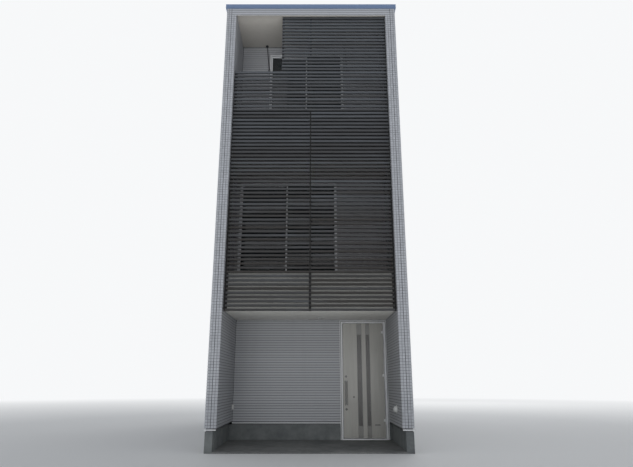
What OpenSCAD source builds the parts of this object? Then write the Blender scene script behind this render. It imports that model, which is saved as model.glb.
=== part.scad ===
// Narrow three-storey town house with a slatted timber screen, an open porch
// and a shed roof. Millimetres, +Z up, front towards -Y, ground at Z = 0.

/* [House] */
// Width over the faces of the two side walls
house_w = 3585; // [3400:5:4200]
// Depth from the ends of the side walls to the face of the rear wall
house_d = 9100; // [7000:50:12000]
// Thickness of a side wall with its siding
side_wall_t = 197; // [150:1:250]
// Thickness of a cross wall with its siding
cross_wall_t = 150; // [120:1:200]
// Thickness of the siding on its battens
siding_t = 22; // [14:1:30]

/* [Levels] */
// Top of the concrete foundation
foundation_top = 350; // [300:5:450]
// Lower edge of the siding
siding_bottom = 402; // [395:1:520]
// Underside of the porch soffit
porch_soffit_z = 2450; // [2440:5:2500]
// Top of the second floor
second_floor_z = 2900; // [2850:5:3000]
// Underside of the second storey's loggia soffit
loggia_soffit_z = 5450; // [5400:5:5500]
// Top of the third floor
third_floor_z = 5900; // [5850:5:6000]
// Underside of the front beam
beam_bottom = 8710; // [8705:1:8720]
// Top of the side walls at their front ends
wall_top = 8930; // [8925:1:8960]

/* [Roof] */
// Fall of the roof for each metre of depth
roof_fall = 50; // [20:1:60]
// Thickness of the roof deck
roof_deck_t = 110; // [80:5:120]
// Spacing of the standing seams
seam_pitch = 448; // [300:1:600]
// Height of a standing seam
seam_h = 30; // [20:1:35]
// Height of the front trim's face
trim_h = 90; // [80:1:100]

/* [Screen] */
// Spacing of the slats from centre to centre
slat_pitch = 78.7; // [78.7:0.1:78.7]
// Number of slats from top to bottom
slat_count = 80; // [80:1:80]
// Height of a slat
slat_h = 40; // [30:1:50]
// Depth of a slat
slat_d = 45; // [30:1:50]
// Height of the top slat's middle
top_slat_z = 8663; // [8655:1:8670]
// Distance of the screen behind the ends of the side walls
screen_setback = 100; // [98:1:110]
// Number of slats cut short by the opening at the upper left
opening_rows = 17; // [10:1:24]
// Right edge of the opening at the upper left, left of the middle
opening_edge = 612; // [400:1:900]

/* [Loggias] */
// Depth from the ends of the side walls to the loggias' rear walls
loggia_d = 1130; // [1000:10:1400]
// Top of the light fascia behind the lowest slats
second_fascia_top = 3190; // [3000:5:3300]
// Top of the dark fascia at the third floor
third_fascia_top = 6540; // [6300:5:6600]

/* [Porch] */
// Depth from the ends of the side walls to the porch's rear wall
porch_d = 1753; // [1600:1:1900]
// Left edge of the door frame, right of the middle
door_x = 611; // [560:1:640]
// Top of the door frame
door_top = 2429; // [2400:1:2435]
// Thickness of the door leaf
leaf_t = 45; // [40:1:50]

/* [Hidden] */
$fn = 48;

white = [0.86, 0.87, 0.89];
concrete = [0.55, 0.56, 0.57];
slat_brown = [0.25, 0.23, 0.22];
metal_grey = [0.42, 0.47, 0.56];
alu_white = [0.88, 0.88, 0.88];
steel = [0.62, 0.63, 0.65];
leaf_silver = [0.75, 0.76, 0.76];
glass_tint = [0.25, 0.3, 0.34, 0.5];

outer = house_w / 2;
inner = outer - side_wall_t;
fuse = 10;

// The house reaches from the roof's front trim to the gutter's brackets
trim_front = 30;
gutter_r = 58;
gutter_t = 4;
gutter_y = house_d + 86;
front_y = -(gutter_y + gutter_r + gutter_t - trim_front) / 2;

// Foundation
foundation_in = 7;
foundation_t = 135;
foundation_outer = outer - foundation_in;
foundation_inner = foundation_outer - foundation_t;
slab_back = 53;
slab_front = 30;
room_floor = 100;

// Soffit boards and the rows of the screen
beam_back = screen_setback - 5;
board_t = 20;
slat_back = screen_setback + slat_d;
slat_gap_high = 10;
slat_gap_low = 32;
short_row = 50;
slat_joint = 12;
post_w = 60;
middle_post_w = 44;
post_d = 30;
post_back = slat_back + post_d;
split_row = 28;
third_row = opening_rows;
second_row = 39;
band_row = 70;
fascia_t = 18;
ceiling_z = beam_bottom + 18;
ceiling_t = 12;

// Windows: left, right, bottom, top
second_window = [-1577, 557, 3418, 5244];
third_window = [-955, 735, 6490, 8519];
rear_windows = [
    [-845, 845, 1100, 2200],
    [-845, 845, 3900, 5070],
    [-845, 845, 6800, 7970]
];
frame_w = 25;
frame_d = 100;
frame_proud = 18;
sash_w = 32;
sash_t = 30;
sash_in = 12;
rail_low = 48;
rail_high = 32;
track_gap = 4;
pane_t = 12;

// Laundry hangers
hanger_x = [-1030, 770];
hanger_y = 1075;
hanger_drop = 640;
hanger_lean = 5.3;
hanger_turn = 50;
rod_r = 8;
ring_r = 26;
ring_bar_r = 7;

// Door
jamb_w = 52;
head_w = 45;
frame_front = porch_d - 25;
frame_back = porch_d + foundation_in + foundation_t;
leaf_front = porch_d - 13;
leaf_back = leaf_front + leaf_t;
leaf_x0 = 675;
leaf_x1 = 1518;
leaf_z0 = 88;
leaf_z1 = 2372;
hinge_jamb_x = leaf_x1 + 19;
hinge_x = 1527.5;
hinge_y = leaf_front - 9;
hinge_heights = [350, 1230, 2110];
hinge_plate_w = 30;
knuckle_r = 8;
knuckle_h = 50;
knuckle_gap = 1;
pin_r = 4;
pin_clearance = 0.05;
strip_a = [966, 1070];
strip_b = [1150, 1240];
strip_t = 3;
slit_z = [320, 2130];
slit_margin = 16;
lock_x = 734;
lock_heights = [638, 1282];
handle_x = 733;
handle_z = [721, 1193];
viewer_x = 888;
viewer_z = 877;
letter_x = [1305, 1415];
letter_z = [327, 347];

// Sheet, trims and rainwater goods
sheet_t = 8;
sheet_front = 120;
sheet_rear = house_d + 70;
trim_t = 12;
trim_side = 36;
trim_lip = 6;
trim_return = 70;
trim_top = wall_top + 52;
gutter_z = wall_top - sheet_rear * roof_fall / 1000 - 6;
pipe_r = 30;
pipe_t = 3;
pipe_x = 1650;
pipe_wall_y = house_d + 48;
pipe_foot_z = 130;
elbow_r = 60;
elbow_turn = 30;
elbow_y = elbow_r * (1 - cos(elbow_turn));
elbow_z = elbow_r * sin(elbow_turn);
slant = (gutter_y - pipe_wall_y - 2 * elbow_y) / sin(elbow_turn);
pipe_high_z = gutter_z - gutter_r - 70;
pipe_low_z = pipe_high_z - 2 * elbow_z - slant * cos(elbow_turn);
pipe_seat = 2;
outlet_gap = 0.3;
clip_t = 4;
clip_h = 24;
clip_count = 5;
clip_margin = 300;

// Height of the roof's underlay at a distance behind the front
function roof_z(y) = wall_top - y * roof_fall / 1000;
// Middle height of a slat, counted from the top
function slat_z(row) = top_slat_z - row * slat_pitch;
// Height of the joint above a row of the screen
function row_top(row) = row == 0 ? ceiling_z : slat_z(row) + slat_pitch / 2;
// End of a slat: close to the side walls above, further from them below
function slat_end(row) = inner - (row < short_row ? slat_gap_high : slat_gap_low);

// Moves the house from its front plane to the middle of its own box
module placed() {
    translate([0, front_y, 0]) children();
}

// A block between two corners
module block(x0, x1, y0, y1, z0, z1) {
    translate([x0, y0, z0]) cube([x1 - x0, y1 - y0, z1 - z0]);
}

// Extrudes a section drawn in Y and Z from one X to another
module along_x(x0, x1) {
    translate([x0, 0, 0]) rotate([90, 0, 90]) linear_extrude(x1 - x0) children();
}

// A strip that follows the roof's slope, between two heights over its underlay
module slope_strip(y0, y1, low, high) {
    polygon([
        [y0, roof_z(y0) + low], [y1, roof_z(y1) + low],
        [y1, roof_z(y1) + high], [y0, roof_z(y0) + high]
    ]);
}

// Both sides of the house
module both_sides() {
    children();
    mirror([1, 0, 0]) children();
}

// Foundation

module foundation_side() {
    block(foundation_inner, foundation_outer, foundation_in, house_d - foundation_in,
          0, foundation_top);
}

module foundation_left() {
    color(concrete) placed() mirror([1, 0, 0]) foundation_side();
}

module foundation_right() {
    color(concrete) placed() foundation_side();
}

module foundation_cross_walls() {
    porch_face = porch_d + foundation_in;
    rear_face = house_d - foundation_in;
    color(concrete) placed() {
        block(-foundation_inner, door_x, porch_face, porch_face + foundation_t,
              0, foundation_top);
        block(-foundation_inner, foundation_inner, rear_face - foundation_t, rear_face,
              0, foundation_top);
    }
}

module porch_slab() {
    color(concrete) placed() along_x(-foundation_inner, foundation_inner)
        polygon([
            [foundation_in, 0], [porch_d + foundation_in, 0],
            [porch_d + foundation_in, slab_back], [foundation_in, slab_front]
        ]);
}

// Floors

module ground_floor() {
    sill_y = porch_d + foundation_in;
    room_y = sill_y + foundation_t;
    color(concrete) placed() union() {
        block(-foundation_inner, foundation_inner, room_y,
              house_d - foundation_in - foundation_t, 0, room_floor);
        block(door_x, foundation_inner, sill_y, room_y + fuse, 0, slab_back);
    }
}

module upper_floor(top, bottom) {
    block(-inner, inner, post_back + fascia_t, house_d - cross_wall_t, bottom, top);
}

module second_floor() {
    color(concrete) placed() upper_floor(second_floor_z, porch_soffit_z + board_t);
}

module third_floor() {
    color(concrete) placed() upper_floor(third_floor_z, loggia_soffit_z + board_t);
}

// Walls

// A side wall: its core stands on the foundation and its siding stops above it
module side_wall() {
    joint_w = 10;
    joint_d = 8;
    joint_x = outer - side_wall_t / 2;
    difference() {
        union() {
            along_x(inner, outer) polygon([
                [0, siding_bottom], [house_d, siding_bottom],
                [house_d, roof_z(house_d)], [0, wall_top]
            ]);
            block(foundation_inner + fuse, outer - siding_t, siding_t, house_d - siding_t,
                  foundation_top, siding_bottom + fuse);
        }
        block(joint_x - joint_w / 2, joint_x + joint_w / 2, -1, joint_d,
              siding_bottom - 1, wall_top + 1);
    }
}

module side_wall_left() {
    color(white) placed() mirror([1, 0, 0]) side_wall();
}

module side_wall_right() {
    color(white) placed() side_wall();
}

module porch_wall() {
    color(white) placed() union() {
        block(-inner, door_x, porch_d, porch_d + cross_wall_t,
              siding_bottom, porch_soffit_z + board_t);
        block(-inner, door_x, porch_d + siding_t, porch_d + cross_wall_t - siding_t,
              foundation_top, siding_bottom + fuse);
        block(door_x - fuse, inner, porch_d, porch_d + cross_wall_t,
              door_top, porch_soffit_z + board_t);
    }
}

// The hole for a window in a wall that starts at a depth
module window_hole(window, y) {
    block(window[0], window[1], y - 1, y + cross_wall_t + 1, window[2], window[3]);
}

module second_loggia_wall() {
    color(white) placed() difference() {
        block(-inner, inner, loggia_d, loggia_d + cross_wall_t,
              second_floor_z, loggia_soffit_z + board_t);
        window_hole(second_window, loggia_d);
    }
}

module third_loggia_wall() {
    back = loggia_d + cross_wall_t;
    color(white) placed() difference() {
        along_x(-inner, inner) polygon([
            [loggia_d, third_floor_z], [back, third_floor_z],
            [back, roof_z(back) - roof_deck_t], [loggia_d, roof_z(loggia_d) - roof_deck_t]
        ]);
        window_hole(third_window, loggia_d);
    }
}

module rear_wall() {
    face = house_d - cross_wall_t;
    color(white) placed() difference() {
        union() {
            along_x(-inner, inner) polygon([
                [face, siding_bottom], [house_d, siding_bottom],
                [house_d, roof_z(house_d) - roof_deck_t], [face, roof_z(face) - roof_deck_t]
            ]);
            block(-inner, inner, face + siding_t, house_d - siding_t,
                  foundation_top, siding_bottom + fuse);
        }
        for (window = rear_windows) window_hole(window, face);
    }
}

module front_beam() {
    color(white) placed() block(-inner, inner, 0, beam_back, beam_bottom, wall_top - 5);
}

// Fascias and ceilings

module second_floor_fascia() {
    color(white) placed() block(-inner, inner, post_back, post_back + fascia_t,
                                porch_soffit_z, second_fascia_top);
}

module third_floor_fascia() {
    color(slat_brown) placed() block(-inner, inner, post_back, post_back + fascia_t,
                                     loggia_soffit_z, third_fascia_top);
}

module porch_soffit() {
    color(white) placed() block(-inner, inner, post_back + fascia_t, porch_d,
                                porch_soffit_z, porch_soffit_z + board_t);
}

module loggia_ceilings() {
    color(white) placed() {
        block(-inner, inner, post_back + fascia_t, loggia_d,
              loggia_soffit_z, loggia_soffit_z + board_t);
        block(-inner, inner, beam_back, loggia_d, ceiling_z, ceiling_z + ceiling_t);
    }
}

// Roof

module roof_deck() {
    color(white) placed() along_x(-inner, inner)
        slope_strip(beam_back, house_d, -roof_deck_t, 0);
}

module roof_sheet() {
    seam_w = 14;
    color(metal_grey) placed() union() {
        along_x(-outer, outer) slope_strip(sheet_front, sheet_rear, 0, sheet_t);
        for (side = [-3 : 3])
            along_x(side * seam_pitch - seam_w / 2, side * seam_pitch + seam_w / 2)
                slope_strip(sheet_front, sheet_rear, sheet_t - 1, sheet_t + seam_h);
    }
}

// Front trim: a folded cap with a lip above and below its face
module roof_front_trim() {
    bottom = trim_top - trim_h;
    face = -trim_front + trim_lip;
    end = outer + trim_side - trim_lip;
    color(metal_grey) placed() union() {
        along_x(-end, end) polygon([
            [0, bottom], [-trim_front, bottom], [-trim_front, bottom + trim_t],
            [face, bottom + trim_t + trim_lip], [face, trim_top - 2 * trim_t],
            [-trim_front, trim_top - trim_t], [-trim_front, trim_top],
            [sheet_front, trim_top], [sheet_front, roof_z(sheet_front) + sheet_t],
            [sheet_front - trim_t, roof_z(sheet_front) + sheet_t],
            [sheet_front - trim_t, trim_top - trim_t],
            [face + trim_t, trim_top - trim_t], [face + trim_t, bottom + trim_t],
            [0, bottom + trim_t]
        ]);
        both_sides() along_x(end - trim_t, end) polygon([
            [face, bottom], [sheet_front, bottom], [sheet_front, trim_top], [face, trim_top]
        ]);
        both_sides() block(outer, end, 0, sheet_front, bottom, bottom + trim_t);
    }
}

// Side trims: the same cap down the two sloping edges, with a return on the roof sheet
module roof_side_trims() {
    face = outer + trim_side - trim_lip;
    top = trim_top - wall_top;
    color(metal_grey) placed() both_sides() union() {
        along_x(face - trim_t, face) slope_strip(sheet_front, sheet_rear, top - trim_h, top);
        along_x(face - trim_return, face) slope_strip(sheet_front, sheet_rear, top - trim_t, top);
        along_x(face - trim_return, face - trim_return + trim_t)
            slope_strip(sheet_front, sheet_rear, sheet_t, top);
    }
}

// Half-round gutter on strap brackets under the roof's rear edge
module gutter_section(r) {
    intersection() {
        circle(r);
        translate([-r, -r]) square([2 * r, r]);
    }
}

// A strap under the gutter with an arm back to the rear wall
module gutter_bracket(x) {
    strap_w = 24;
    arm_t = 10;
    arm_drop = 30;
    bite = 2;
    x0 = x - strap_w / 2;
    x1 = x + strap_w / 2;
    along_x(x0, x1) translate([gutter_y, gutter_z]) difference() {
        gutter_section(gutter_r + gutter_t);
        circle(gutter_r - 1);
    }
    block(x0, x1, house_d, gutter_y - gutter_r + bite,
          gutter_z - arm_drop, gutter_z - arm_drop + arm_t);
}

module gutter() {
    bracket_reach = 1500;
    bracket_step = 750;
    color(alu_white) placed() union() {
        difference() {
            along_x(-outer, outer) translate([gutter_y, gutter_z]) gutter_section(gutter_r);
            along_x(-outer + gutter_t, outer - gutter_t) translate([gutter_y, gutter_z + 0.1])
                gutter_section(gutter_r - gutter_t);
        }
        for (x = [-bracket_reach : bracket_step : bracket_reach]) gutter_bracket(x);
    }
}

// Downpipe: from an outlet under the gutter back to the wall through two elbows and down it.
// The moulded elbows are stouter than the pipe and a little narrower than its socket inside.

module tube(r, bore, h) {
    linear_extrude(h) difference() {
        circle(r);
        circle(bore);
    }
}

module pipe(h) {
    tube(pipe_r, pipe_r - pipe_t, h);
}

module elbow() {
    rotate_extrude(angle = elbow_turn) translate([elbow_r, 0]) difference() {
        circle(pipe_r + pipe_t);
        circle(pipe_r - 2 * pipe_t / 3);
    }
}

module pipe_clip() {
    reach = pipe_wall_y - house_d;
    tube(pipe_r + clip_t, pipe_r - pipe_t / 2, clip_h);
    translate([-clip_h / 3, -reach, 0]) cube([2 * clip_h / 3, reach - pipe_r, clip_h]);
}

// The outlet's top is cut to the gutter's round underside
module gutter_outlet(z) {
    difference() {
        translate([0, 0, z]) pipe(gutter_z - gutter_r / 2 - z);
        translate([-gutter_r, 0, gutter_z]) rotate([0, 90, 0])
            cylinder(r = gutter_r + outlet_gap, h = 2 * gutter_r);
    }
}

module downpipe() {
    clip_step = (pipe_low_z - pipe_foot_z - 2 * clip_margin) / (clip_count - 1);
    back = gutter_y - pipe_wall_y;
    color(alu_white) placed() translate([pipe_x, pipe_wall_y, 0]) union() {
        translate([0, 0, pipe_foot_z]) pipe(pipe_low_z - pipe_foot_z + pipe_seat);
        translate([0, elbow_r, pipe_low_z]) rotate([90, 0, -90]) elbow();
        translate([0, elbow_y, pipe_low_z + elbow_z]) rotate([-elbow_turn, 0, 0])
            translate([0, 0, -pipe_seat]) pipe(slant + 2 * pipe_seat);
        translate([0, back - elbow_r, pipe_high_z]) rotate([-90, 0, 90]) elbow();
        translate([0, back, 0]) gutter_outlet(pipe_high_z - pipe_seat);
        for (i = [0 : clip_count - 1])
            translate([0, 0, pipe_foot_z + clip_margin + i * clip_step]) pipe_clip();
    }
}

// Drip flashing: a shelf with a lip round the foot of the siding

module flashing_run(x0, x1, y0, y1, lip_x, lip_y) {
    shelf_z = foundation_top + 32;
    shelf_t = 6;
    block(x0, x1, y0, y1, shelf_z, shelf_z + shelf_t);
    if (lip_x != 0) block(lip_x > 0 ? x1 - shelf_t : x0, lip_x > 0 ? x1 : x0 + shelf_t,
                          y0, y1, foundation_top, shelf_z + shelf_t);
    if (lip_y != 0) block(x0, x1, lip_y > 0 ? y1 - shelf_t : y0, lip_y > 0 ? y1 : y0 + shelf_t,
                          foundation_top, shelf_z + shelf_t);
}

module drip_flashing() {
    proud = 15;
    color(alu_white) placed() {
        union() {
            both_sides() flashing_run(outer - siding_t, outer + proud, -proud, house_d + proud, 1, 0);
            both_sides() flashing_run(inner, outer + proud, -proud, siding_t, 0, -1);
            flashing_run(-outer - proud, outer + proud, house_d - siding_t, house_d + proud, 0, 1);
        }
        flashing_run(-inner, door_x, porch_d - proud, porch_d + siding_t, 0, -1);
    }
}

// Screen: slats with eased edges, fixed to the front of upright posts

module slat_section() {
    ease = 3;
    translate([screen_setback, -slat_h / 2]) polygon([
        [ease, 0], [slat_d - ease, 0], [slat_d, ease], [slat_d, slat_h - ease],
        [slat_d - ease, slat_h], [ease, slat_h], [0, slat_h - ease], [0, ease]
    ]);
}

module slat(row, x0, x1) {
    translate([0, 0, slat_z(row)]) along_x(x0, x1) slat_section();
}

// A post behind the slats; its front face bites a millimetre into their backs
module post(x0, x1, z0, z1) {
    block(x0, x1, slat_back - 1, post_back, z0, z1);
}

module end_post(z0, z1) {
    post(inner - post_w, inner, z0, z1);
}

module middle_post(z0, z1) {
    post(-middle_post_w / 2, middle_post_w / 2, z0, z1);
}

// A row over the full width: in one length above, with a joint at the middle below
module full_row(row) {
    if (row < split_row) slat(row, -slat_end(row), slat_end(row));
    else both_sides() slat(row, slat_joint / 2, slat_end(row));
}

module screen_panel(first, last, bottom) {
    top = row_top(first);
    color(slat_brown) placed() union() {
        both_sides() end_post(bottom, top);
        middle_post(bottom, top);
        for (row = [first : last]) full_row(row);
    }
}

// The top rows stop at a post beside the opening at the upper left
module screen_top() {
    bottom = row_top(third_row);
    edge = -opening_edge;
    color(slat_brown) placed() union() {
        end_post(bottom, ceiling_z);
        middle_post(bottom, ceiling_z);
        post(edge, edge + middle_post_w, bottom, ceiling_z);
        for (row = [0 : opening_rows - 1]) slat(row, edge, slat_end(row));
    }
}

module screen_third_storey() {
    screen_panel(third_row, second_row - 1, row_top(second_row));
}

module screen_second_storey() {
    screen_panel(second_row, band_row - 1, row_top(band_row));
}

module screen_floor_band() {
    screen_panel(band_row, slat_count - 1, slat_z(slat_count - 1) - slat_h / 2);
}

// Sliding windows

module window_frame(window, y) {
    difference() {
        block(window[0], window[1], y - frame_proud, y - frame_proud + frame_d,
              window[2], window[3]);
        block(window[0] + frame_w, window[1] - frame_w, y - frame_proud - 1,
              y - frame_proud + frame_d + 1, window[2] + frame_w, window[3] - frame_w);
    }
}

// The box of a window's left or right sash, and the depth of its track
function sash_box(window, side) = let (
    middle = (window[0] + window[1]) / 2,
    low = window[2] + frame_w,
    high = window[3] - frame_w
) side < 0 ? [window[0] + frame_w, middle + sash_w / 2, low, high]
           : [middle - sash_w / 2, window[1] - frame_w, low, high];
function sash_y(y, side) = y - frame_proud + sash_in + (side < 0 ? sash_t + track_gap : 0);

module sash(box, y) {
    difference() {
        block(box[0], box[1], y, y + sash_t, box[2], box[3]);
        block(box[0] + sash_w, box[1] - sash_w, y - 1, y + sash_t + 1,
              box[2] + rail_low, box[3] - rail_high);
    }
}

module pane(box, y) {
    block(box[0] + sash_w, box[1] - sash_w, y + (sash_t - pane_t) / 2, y + (sash_t + pane_t) / 2,
          box[2] + rail_low, box[3] - rail_high);
}

module window_sashes(window, y) {
    for (side = [-1, 1]) sash(sash_box(window, side), sash_y(y, side));
}

module window_panes(window, y) {
    for (side = [-1, 1]) pane(sash_box(window, side), sash_y(y, side));
}

// Turns what is drawn for a front wall to face the rear
module rear_facing() {
    translate([0, house_d, 0]) mirror([0, 1, 0]) children();
}

module loggia_window_frames() {
    color(alu_white) placed() {
        window_frame(second_window, loggia_d);
        window_frame(third_window, loggia_d);
    }
}

module loggia_window_sashes() {
    color(alu_white) placed() {
        window_sashes(second_window, loggia_d);
        window_sashes(third_window, loggia_d);
    }
}

module rear_window_frames() {
    color(alu_white) placed() rear_facing() for (window = rear_windows) window_frame(window, 0);
}

module rear_window_sashes() {
    color(alu_white) placed() rear_facing() for (window = rear_windows) window_sashes(window, 0);
}

module window_glass() {
    color(glass_tint) placed() {
        window_panes(second_window, loggia_d);
        window_panes(third_window, loggia_d);
        rear_facing() for (window = rear_windows) window_panes(window, 0);
    }
}

// Fittings

// Two rods with a ring at the foot hang a little askew under the upper loggia's ceiling
module laundry_hangers() {
    cap_r = 32;
    cap_h = 14;
    bite = 4;
    color(steel) placed() for (x = hanger_x) translate([x, hanger_y, ceiling_z]) union() {
        translate([0, 0, -cap_h]) cylinder(r = cap_r, h = cap_h);
        rotate([0, -hanger_lean, 0]) {
            translate([0, 0, -hanger_drop]) cylinder(r = rod_r, h = hanger_drop - bite);
            translate([0, 0, bite - hanger_drop - ring_r]) rotate([0, 90, hanger_turn])
                rotate_extrude() translate([ring_r, 0]) circle(ring_bar_r);
        }
    }
}

// A round light in the porch's soffit, with its rim round a shallow recess
module porch_downlight() {
    light = [193, 1330];
    rim_h = 8;
    recess_h = 5;
    color(alu_white) placed() translate([light[0], light[1], porch_soffit_z - rim_h])
        difference() {
            cylinder(r = 52, h = rim_h);
            translate([0, 0, -1]) cylinder(r = 38, h = recess_h + 1);
        }
}

// Weatherproof outlet on the left wall, with a recess for plugs in its underside
module outlet_box() {
    size = [40, 60, 90];
    rim = 8;
    recess_h = 12;
    color(alu_white) placed() translate([-inner, porch_d - 50 - size[1], 640]) difference() {
        cube(size);
        translate([rim, rim, -1]) cube([size[0] - 2 * rim, size[1] - 2 * rim, recess_h + 1]);
    }
}

// Domed weather hood on the right wall, open below
module vent_hood() {
    hood_r = 70;
    flange_w = 8;
    flange_t = 8;
    shell = 12;
    mouth_h = 30;
    color(alu_white) placed() translate([inner, 600, 683]) difference() {
        union() {
            intersection() {
                sphere(hood_r);
                translate([-hood_r, -hood_r, -hood_r]) cube([hood_r, 2 * hood_r, 2 * hood_r]);
            }
            rotate([0, -90, 0]) cylinder(r = hood_r + flange_w, h = flange_t);
        }
        translate([-hood_r - flange_t, shell - hood_r, -hood_r - 1])
            cube([hood_r, 2 * (hood_r - shell), mouth_h + 1]);
    }
}

// Entrance door

// Frame with a stop behind the leaf on three sides and a sill below it
module door_frame() {
    stop = 15;
    stop_y = leaf_back + 7;
    sill_top = slab_back + 25;
    head_z = door_top - head_w;
    color(alu_white) placed() union() {
        block(door_x, door_x + jamb_w, frame_front, frame_back, slab_back, door_top);
        block(door_x, door_x + jamb_w + stop, stop_y, frame_back, slab_back, door_top);
        block(hinge_jamb_x, inner, frame_front, frame_back, slab_back, door_top);
        block(hinge_jamb_x - stop, inner, stop_y, frame_back, slab_back, door_top);
        block(door_x, inner, frame_front, frame_back, head_z, door_top);
        block(door_x, inner, stop_y, frame_back, head_z - stop, door_top);
        block(door_x, inner, frame_front, frame_back, slab_back, sill_top);
    }
}

// Lower halves of the lift-off hinges, with the pins
module frame_hinges() {
    plate_t = 5;
    color(steel) placed() for (z = hinge_heights) union() {
        translate([hinge_x, hinge_y, z]) cylinder(r = knuckle_r, h = knuckle_h);
        translate([hinge_x, hinge_y, z]) cylinder(r = pin_r, h = 2 * knuckle_h - 2);
        block(hinge_x, hinge_jamb_x + hinge_plate_w, frame_front - plate_t, frame_front,
              z, z + knuckle_h);
    }
}

// Upper halves of the hinges, on the leaf
module door_hinges() {
    plate_t = 4;
    foot = knuckle_h + knuckle_gap;
    color(steel) placed() for (z = hinge_heights) difference() {
        union() {
            translate([hinge_x, hinge_y, z + foot]) cylinder(r = knuckle_r, h = knuckle_h - knuckle_gap);
            block(leaf_x1 - hinge_plate_w, hinge_x, leaf_front - plate_t, leaf_front,
                  z + foot, z + 2 * knuckle_h);
        }
        translate([hinge_x, hinge_y, z + knuckle_h])
            cylinder(r = pin_r + pin_clearance, h = knuckle_h + 1);
    }
}

// The slot for a strip's glass
module slit(strip, y0, y1) {
    block(strip[0] + slit_margin, strip[1] - slit_margin, y0, y1, slit_z[0], slit_z[1]);
}

// Leaf with a sunk place over its full height for each strip
module door_leaf() {
    color(leaf_silver) placed() difference() {
        block(leaf_x0, leaf_x1, leaf_front, leaf_back, leaf_z0, leaf_z1);
        for (strip = [strip_a, strip_b]) {
            block(strip[0], strip[1], leaf_front - 1, leaf_front + strip_t, leaf_z0 - 1, leaf_z1 + 1);
            slit(strip, leaf_front, leaf_back + 1);
        }
    }
}

module door_strips() {
    color(steel) placed() for (strip = [strip_a, strip_b]) difference() {
        block(strip[0], strip[1], leaf_front, leaf_front + strip_t, leaf_z0, leaf_z1);
        slit(strip, leaf_front - 1, leaf_back);
    }
}

module door_glass() {
    glass_in = 10;
    glass_t = 20;
    color(glass_tint) placed() for (strip = [strip_a, strip_b])
        slit(strip, leaf_front + glass_in, leaf_front + glass_in + glass_t);
}

// An upright bar on two stand-offs
module pull_bar(bar_y, face_y) {
    bar_r = 13;
    standoff_r = 10;
    standoff_in = 50;
    union() {
        translate([handle_x, bar_y, handle_z[0]]) cylinder(r = bar_r, h = handle_z[1] - handle_z[0]);
        for (z = [handle_z[0] + standoff_in, handle_z[1] - standoff_in])
            translate([handle_x, min(bar_y, face_y), z]) rotate([-90, 0, 0])
                cylinder(r = standoff_r, h = abs(face_y - bar_y));
    }
}

// A pull on each face; the outer one stands on a plate
module door_handles() {
    reach = 50;
    plate_w = 50;
    plate_t = 5;
    color(steel) placed() {
        union() {
            block(handle_x - plate_w / 2, handle_x + plate_w / 2, leaf_front - plate_t, leaf_front,
                  handle_z[0], handle_z[1]);
            pull_bar(leaf_front - reach, leaf_front);
        }
        pull_bar(leaf_back + reach, leaf_back);
    }
}

// A round fitting that stands out of the leaf
module door_button(x, z, r, h) {
    translate([x, leaf_front, z]) rotate([90, 0, 0]) cylinder(r = r, h = h);
}

// Two lock cylinders, a round viewer and a letter slot's flap
module door_locks() {
    flap_t = 5;
    color(steel) placed() {
        for (z = lock_heights) union() {
            door_button(lock_x, z, 24, 8);
            door_button(lock_x, z, 14, 13);
        }
        door_button(viewer_x, viewer_z, 18, 6);
        block(letter_x[0], letter_x[1], leaf_front - flap_t, leaf_front, letter_z[0], letter_z[1]);
    }
}

foundation_left();
foundation_right();
foundation_cross_walls();
porch_slab();
ground_floor();
second_floor();
third_floor();
side_wall_left();
side_wall_right();
porch_wall();
second_loggia_wall();
third_loggia_wall();
rear_wall();
front_beam();
second_floor_fascia();
third_floor_fascia();
porch_soffit();
loggia_ceilings();
roof_deck();
roof_sheet();
roof_front_trim();
roof_side_trims();
gutter();
downpipe();
drip_flashing();
screen_top();
screen_third_storey();
screen_second_storey();
screen_floor_band();
loggia_window_frames();
loggia_window_sashes();
rear_window_frames();
rear_window_sashes();
window_glass();
laundry_hangers();
porch_downlight();
outlet_box();
vent_hood();
door_frame();
frame_hinges();
door_leaf();
door_strips();
door_glass();
door_handles();
door_locks();
door_hinges();
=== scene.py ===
# %% [markdown]
# # A narrow town house behind a slat screen
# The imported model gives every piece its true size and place. This lesson adds
# what a visitor sees from the street: ribbed ceramic siding, mosaic tiles on
# the wall ends, weathered timber slats, folded metal, concrete and glass.

import math
import random

import bmesh
import bpy
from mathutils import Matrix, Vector


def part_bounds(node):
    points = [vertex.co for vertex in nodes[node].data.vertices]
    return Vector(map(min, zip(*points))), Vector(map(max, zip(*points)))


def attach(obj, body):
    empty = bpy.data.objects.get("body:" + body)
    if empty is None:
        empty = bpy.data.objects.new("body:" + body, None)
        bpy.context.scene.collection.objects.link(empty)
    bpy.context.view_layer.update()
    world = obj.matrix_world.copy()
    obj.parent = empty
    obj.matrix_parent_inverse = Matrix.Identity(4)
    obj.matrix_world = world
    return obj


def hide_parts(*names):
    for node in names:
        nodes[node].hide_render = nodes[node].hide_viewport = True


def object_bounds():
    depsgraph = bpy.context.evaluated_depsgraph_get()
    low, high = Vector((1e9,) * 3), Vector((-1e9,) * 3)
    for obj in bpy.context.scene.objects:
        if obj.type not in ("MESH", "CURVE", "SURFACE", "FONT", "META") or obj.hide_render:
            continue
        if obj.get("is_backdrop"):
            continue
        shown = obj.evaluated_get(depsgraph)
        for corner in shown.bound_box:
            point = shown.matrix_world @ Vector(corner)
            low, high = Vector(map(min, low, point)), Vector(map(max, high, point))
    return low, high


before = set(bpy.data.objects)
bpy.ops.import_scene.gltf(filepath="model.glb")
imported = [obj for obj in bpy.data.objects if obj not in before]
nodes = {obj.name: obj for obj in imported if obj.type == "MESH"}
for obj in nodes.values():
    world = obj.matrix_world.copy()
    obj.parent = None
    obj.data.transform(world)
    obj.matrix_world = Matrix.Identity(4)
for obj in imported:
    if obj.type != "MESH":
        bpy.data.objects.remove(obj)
cad_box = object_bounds()
scene = bpy.context.scene
HOUSE = "house"
DOOR = "door"
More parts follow.
